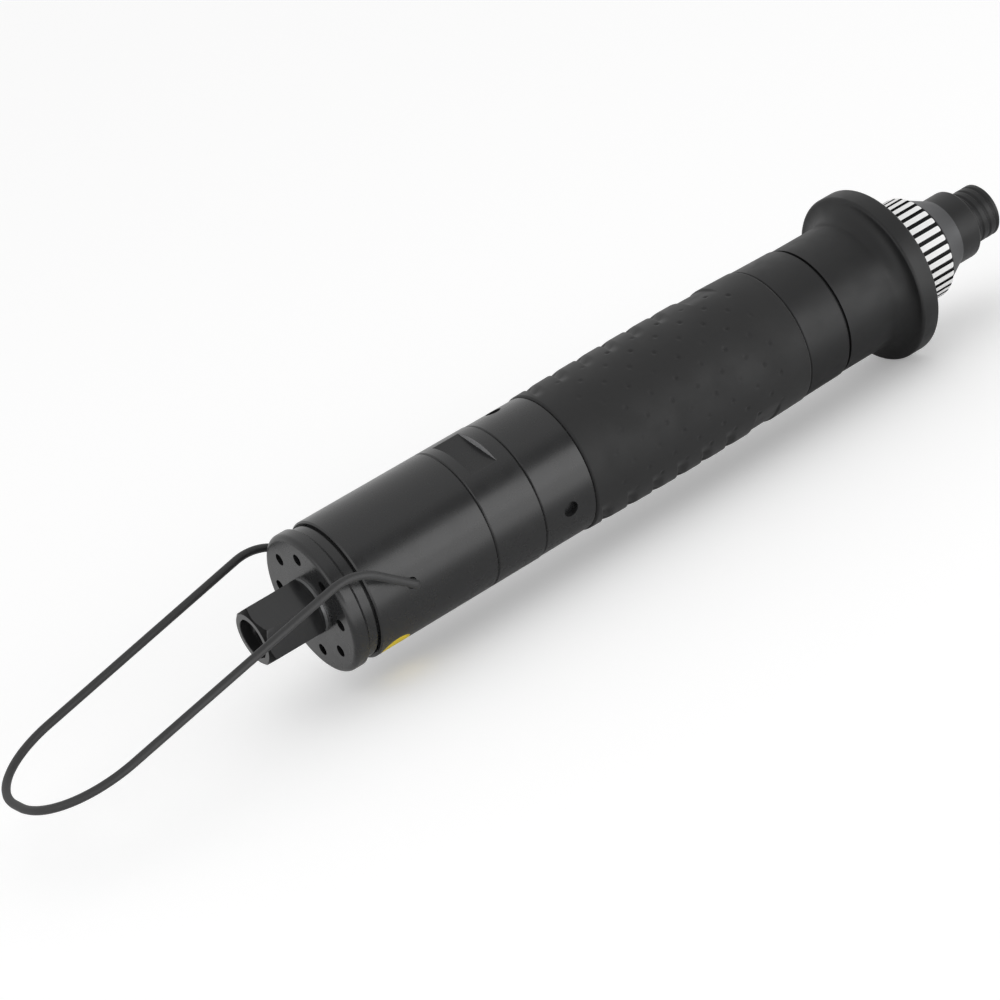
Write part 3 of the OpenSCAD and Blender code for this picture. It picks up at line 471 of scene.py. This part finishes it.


# the hexagon's chamfered end is drawn darker and less glossy
def dullChamfer(name, base, look):
    finish, tree, shader = copyFinish(name, base)
    parts = millimetres(tree)[1]
    radius = fromAxis(tree, parts)
    # the chamfer's cone is found here and drawn darker and less glossy
    cone = calc(tree, "ADD", calc(tree, "MULTIPLY", parts[0], chamferRise(look)), look["faceRadius"])
    offCone = calc(tree, "ABSOLUTE", calc(tree, "SUBTRACT", radius, cone))
    dull = calc(tree, "MULTIPLY", calc(tree, "LESS_THAN", offCone, look["coneMargin"]),
                calc(tree, "GREATER_THAN", radius, look["faceRadius"] + look["faceMargin"]))
    color = shader.inputs["Base Color"]
    tree.links.new(tint(tree, dull, color.links[0].from_socket, look["chamferDarkColor"]), color)
    gloss = addNode(tree, "MapRange", dull, 0, 1, *look["gloss"]).outputs[0]
    tree.links.new(gloss, shader.inputs["Specular IOR Level"])
    return finish


placePiece(inletMesh(inlet), "threadedInlet", "body", dullChamfer("inletChamfer", finishes["inlet"], inlet),
           "inlet_bushing", inlet["sharp"])

# finger guard: the flare and the rim turned finely, with the two slots for the adjusting nut in the front tube
guard = {"steps": 128, "spigot": (171.7, 179.7, 15.4), "room": 12.05, "collar": 18.55, "notch": 0.7, "flare": 4.75,
         "rimFrom": 201.05, "rimTo": 207.0, "rim": 24.2, "rimRound": 0.9, "tube": 12.35, "bore": 11.05,
         "tubeTo": 222.25, "step": (199.5, 200.5), "slot": (207.2, 214.8), "slotSteps": 4, "arcSteps": 24,
         "rimSteps": 8, "sharp": 30}


def arcPoints(x, r, size, start, end, count):
    turns = [math.radians(start + (end - start) * i / count) for i in range(count + 1)]
    return [(x + size * math.sin(a), r + size * math.cos(a)) for a in turns]


def guardMesh(look):
    low, high, spigot = look["spigot"]
    inner = look["rim"] - look["rimRound"]
    flare = arcPoints(look["rimFrom"] - look["flare"], look["collar"] + look["flare"], look["flare"], 180, 90,
                      look["arcSteps"])
    rim = (arcPoints(look["rimFrom"] + look["rimRound"], inner, look["rimRound"], -90, 0, look["rimSteps"])
           + arcPoints(look["rimTo"] - look["rimRound"], inner, look["rimRound"], 0, 90, look["rimSteps"]))
    slotFrom, slotTo = look["slot"]
    stepFrom, stepTo = look["step"]
    notch = look["notch"]
    profile = [(low, look["room"]), (low, spigot), (high, spigot), (high, look["collar"] - notch),
               (high + notch, look["collar"] - notch), (high + notch, look["collar"]), *flare, *rim,
               (look["rimTo"], look["tube"]), (slotFrom, look["tube"]), (slotTo, look["tube"]),
               (look["tubeTo"], look["tube"]), (look["tubeTo"], look["bore"]), (slotTo, look["bore"]),
               (slotFrom, look["bore"]), (stepTo, look["bore"]), (stepFrom, look["room"])]
    bm = turnedMesh(profile, look["steps"])
    half = 360 / look["steps"] * look["slotSteps"]
    for side in (1, -1):
        opened = []
        for face in bm.faces:
            middle = face.calc_center_median()
            fromSlot = math.degrees(math.atan2(abs(middle.y), side * middle.z))
            if slotFrom < middle.x / mm < slotTo and fromSlot < half:
                opened.append(face)
        bmesh.ops.delete(bm, geom=opened, context="FACES")
        bmesh.ops.bridge_loops(bm, edges=[edge for edge in bm.edges if edge.is_boundary])
    bmesh.ops.recalc_face_normals(bm, faces=bm.faces)
    return bm


placePiece(guardMesh(guard), "smoothGuard", "body", finishes["satin"], "guard_collar", guard["sharp"])

# nose with its thread cut as a helix
nose = {"steps": 120, "threadFrom": 236.65, "threadTo": 245.6, "crest": 7.6, "pitch": 2.5, "startTurn": 0.4,
        "depth": 0.34, "grooveEase": (0.08, 0.5), "runIn": 0.9, "sample": 0.14, "sharp": 35,
        "front": [(246.0, 7.2), (246.0, 5.5), (241.6, 5.5), (241.6, 6.35), (222.85, 6.35), (222.85, 7.1)],
        "back": [(215.5, 7.1), (215.5, 11.0), (222.25, 11.0), (222.25, 13.1), (222.4, 13.35), (222.65, 13.5),
                 (229.6, 10.02), (230.05, 9.95), (235.75, 9.95), (236.1, 9.88), (236.39, 9.69), (236.58, 9.39),
                 (236.65, 9.05)]}


def noseMesh(look):
    span = look["threadTo"] - look["threadFrom"]
    count = round(span / look["sample"])
    thread = [(look["threadFrom"] + span * i / count, look["crest"]) for i in range(count + 1)]
    bm = turnedMesh(look["back"] + thread + look["front"], look["steps"])
    for vert in bm.verts:
        x, radius, angle = aroundAxis(vert.co)
        if abs(radius - look["crest"]) > near or not look["threadFrom"] + near < x < look["threadTo"] + near:
            continue
        phase = ((x - look["threadFrom"]) / look["pitch"] + angle / 360 + look["startTurn"]) % 1
        groove = 1 - ease(abs(phase - 0.5) * 2, *look["grooveEase"])
        fade = ease(x, look["threadFrom"], look["threadFrom"] + look["runIn"])
        scaleRadius(vert, (radius - look["depth"] * groove * fade) / radius)
    bmesh.ops.recalc_face_normals(bm, faces=bm.faces)
    return bm


placePiece(noseMesh(nose), "threadedNose", "body", finishes["nose"], "nose_piece", nose["sharp"])

# hanging bail: one bent wire; the near half's corners and bend radii, mirrored for the far half
bail = {"wireRadius": 1.1, "sides": 16, "stepAngle": 3, "sharp": 50,
        "corners": [(36.4, -16.6, -1), (36.4, -23.5, -1), (20.6, -25.5, 11.9), (-70.1, -24.4, -6.2)],
        "bends": [3, 14.9, 22.9]}


def bentRoute(look):
    half = [Vector(p) for p in look["corners"]]
    corners = half + [Vector((p.x, -p.y, p.z)) for p in reversed(half)]
    bends = look["bends"] + look["bends"][::-1]
    route = [corners[0]]
    for i, radius in enumerate(bends, 1):
        into = (corners[i] - corners[i - 1]).normalized()
        out = (corners[i + 1] - corners[i]).normalized()
        turn = into.angle(out)
        centre = corners[i] + (out - into).normalized() * radius / math.cos(turn / 2)
        start = corners[i] - into * radius * math.tan(turn / 2) - centre
        count = max(2, math.ceil(math.degrees(turn) / look["stepAngle"]))
        for k in range(count + 1):
            a = turn * k / count
            route.append(centre + start * math.cos(a) + into * radius * math.sin(a))
    return route + [corners[-1]]


# a round wire along a route in millimetres
def wireMesh(route, radius, sides):
    curve = bpy.data.curves.new("route", "CURVE")
    curve.dimensions = "3D"
    curve.bevel_depth = radius * mm
    curve.bevel_resolution = sides // 4
    curve.use_fill_caps = True
    spline = curve.splines.new("POLY")
    spline.points.add(len(route) - 1)
    for point, place in zip(spline.points, route):
        point.co = (*(place * mm), 1)
    helper = bpy.data.objects.new("route", curve)
    scene.collection.objects.link(helper)
    bpy.context.view_layer.update()
    tube = bpy.data.meshes.new_from_object(helper.evaluated_get(bpy.context.evaluated_depsgraph_get()))
    bpy.data.objects.remove(helper)
    bm = bmesh.new()
    bm.from_mesh(tube)
    bmesh.ops.remove_doubles(bm, verts=bm.verts, dist=wireWeld)
    bmesh.ops.recalc_face_normals(bm, faces=bm.faces)
    return bm


placePiece(wireMesh(bentRoute(bail), bail["wireRadius"], bail["sides"]), "bailWire", "bail", finishes["wire"],
           "bail", bail["sharp"])

# springs: round wire with closed end turns, squeezed by the pieces at their ends
valveSpring = {"from": 34.02, "to": 43.18, "radius": 3.6, "wireRadius": 0.4, "turns": 6}
clutchSpring = {"from": 158.02, "to": 203.98, "radius": 8.2, "wireRadius": 1.1, "turns": 9, "slip": 1.6}
coil = {"sides": 12, "steps": 32, "closed": 1.2, "closedPitch": 2.2, "sharp": 50}


def coilRoute(look, startTurn, endTurn):
    first, last = look["from"] + look["wireRadius"], look["to"] - look["wireRadius"]
    atEnds = coil["closedPitch"] * look["wireRadius"] * coil["closed"]
    route = []
    for i in range(round(startTurn * coil["steps"]), round(endTurn * coil["steps"]) + 1):
        turn = i / coil["steps"]
        fromEnd = min(turn, look["turns"] - turn)
        if fromEnd < coil["closed"]:
            x = atEnds * fromEnd / coil["closed"]
            x = first + x if turn < look["turns"] / 2 else last - x
        else:
            share = (turn - coil["closed"]) / (look["turns"] - 2 * coil["closed"])
            x = first + atEnds + (last - first - 2 * atEnds) * share
        a = 2 * math.pi * turn
        route.append(Vector((x, look["radius"] * math.cos(a), look["radius"] * math.sin(a))))
    return route


def placeCoil(name, node, look, startTurn, endTurn, body=None):
    bm = wireMesh(coilRoute(look, startTurn, endTurn), look["wireRadius"], coil["sides"])
    return placePiece(bm, name, body, finishes[slotOf[node]], node, coil["sharp"])


piece = placeCoil("valveCoil", "valve_spring", valveSpring, 0, valveSpring["turns"])
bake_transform(piece)
# the clutch spring is parted halfway: the plate squeezes its rear half, the adjusting nut its front half
half = clutchSpring["turns"] / 2
piece = placeCoil("clutchCoilRear", "clutch_spring", clutchSpring, 0, half, "body")
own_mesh(piece)
piece = placeCoil("clutchCoilFront", "clutch_spring", clutchSpring, half, clutchSpring["turns"])
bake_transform(piece)

# camera: where the picture was taken from, rolled as the tool lies in it
camera = {"place": (-0.25549, -0.67283, 0.26342), "lens": 113.2, "sensor": 36, "clipStart": 0.01,
          "right": (0.78231, -0.52039, -0.34233), "up": (0.46289, 0.11794, 0.87854)}
cam = bpy.data.objects.new("cam", bpy.data.cameras.new("cam"))
cam.data.lens = camera["lens"]
cam.data.sensor_width = camera["sensor"]
cam.data.clip_start = camera["clipStart"]
right = Vector(camera["right"]).normalized()
up = (Vector(camera["up"]) - right * right.dot(Vector(camera["up"]))).normalized()
cam.matrix_world = Matrix.Translation(camera["place"]) @ Matrix((right, up, right.cross(up))).transposed().to_4x4()
scene.collection.objects.link(cam)
scene.camera = cam

# studio: pale floor that keeps a soft shadow, pale room, a low softbox in front and a small one at the inlet end
studio = {"floorZ": -0.0245, "floorHalf": 6, "floor": (0.9, 0.9, 0.9), "glow": 0.24, "sheen": 1.4,
          "sheenFrom": 0.036, "sheenTo": 0.075, "room": 0.85, "dip": 0.62, "dipRise": (0.4, 0.52),
          "dipFall": (0.62, 0.82), "dipFront": -0.4, "aim": (0.1, 0, 0)}
softboxes = {
    "front": {"from": (0.44, -0.955, 0.2), "size": (0.95, 0.5), "watts": 2.7},
    "rear": {"from": (-0.95, -0.05, 0.3), "size": (0.5, 0.5), "watts": 0.8},
}
aim = Vector(studio["aim"])
for name, box in softboxes.items():
    lamp = bpy.data.lights.new(name, "AREA")
    lamp.shape = "RECTANGLE"
    lamp.size, lamp.size_y = box["size"]
    lamp.energy = box["watts"]
    holder = bpy.data.objects.new(name, lamp)
    holder.location = aim + Vector(box["from"])
    holder.rotation_euler = (aim - holder.location).to_track_quat("-Z", "Y").to_euler()
    scene.collection.objects.link(holder)

bm = bmesh.new()
bmesh.ops.create_grid(bm, x_segments=1, y_segments=1, size=studio["floorHalf"],
                      matrix=Matrix.Translation((0, 0, studio["floorZ"])))
floorMesh = bpy.data.meshes.new("floor")
bm.to_mesh(floorMesh)
bm.free()
floor = bpy.data.objects.new("floor", floorMesh)
scene.collection.objects.link(floor)

# floor: matt paper, lifted a little where it is seen, and bright in reflections from some way in front of the tool
paper = bpy.data.materials.new("paleFloor")
paper.use_nodes = True
tree = paper.node_tree
tree.nodes.clear()
ray = addNode(tree, "LightPath").outputs
place = addNode(tree, "SeparateXYZ", addNode(tree, "TexCoord").outputs["Object"]).outputs
ahead = addNode(tree, "MapRange", place[1], -studio["sheenFrom"], -studio["sheenTo"], 0, studio["sheen"],
                interpolation_type="SMOOTHSTEP").outputs[0]
lift = calc(tree, "ADD", calc(tree, "MULTIPLY", ray["Is Camera Ray"], studio["glow"]),
            calc(tree, "MULTIPLY", ray["Is Glossy Ray"], ahead))
matt = addNode(tree, "BsdfDiffuse", (*studio["floor"], 1)).outputs[0]
glow = addNode(tree, "Emission", (1, 1, 1, 1), lift).outputs[0]
addNode(tree, "OutputMaterial", addNode(tree, "AddShader", matt, glow).outputs[0])
floorMesh.materials.append(paper)

# room: even and pale, darker in a band high up in front, white where the camera sees it
world = bpy.data.worlds.new("paleRoom")
scene.world = world
world.use_nodes = True
tree = world.node_tree
tree.nodes.clear()
toward = addNode(tree, "SeparateXYZ", addNode(tree, "TexCoord").outputs["Generated"]).outputs
rise = addNode(tree, "MapRange", toward[2], *studio["dipRise"], 0, 1, interpolation_type="SMOOTHSTEP").outputs[0]
fall = addNode(tree, "MapRange", toward[2], *studio["dipFall"], 1, 0, interpolation_type="SMOOTHSTEP").outputs[0]
inFront = addNode(tree, "MapRange", toward[1], 0, studio["dipFront"], 0, studio["dip"]).outputs[0]
dip = calc(tree, "MULTIPLY", calc(tree, "MULTIPLY", rise, fall), inFront)
room = calc(tree, "MULTIPLY", calc(tree, "SUBTRACT", 1.0, dip), studio["room"])
seen = calc(tree, "MAXIMUM", room, addNode(tree, "LightPath").outputs["Is Camera Ray"])
back = addNode(tree, "Background", (1, 1, 1, 1), seen).outputs[0]
addNode(tree, "OutputWorld", back)
print("studio set")
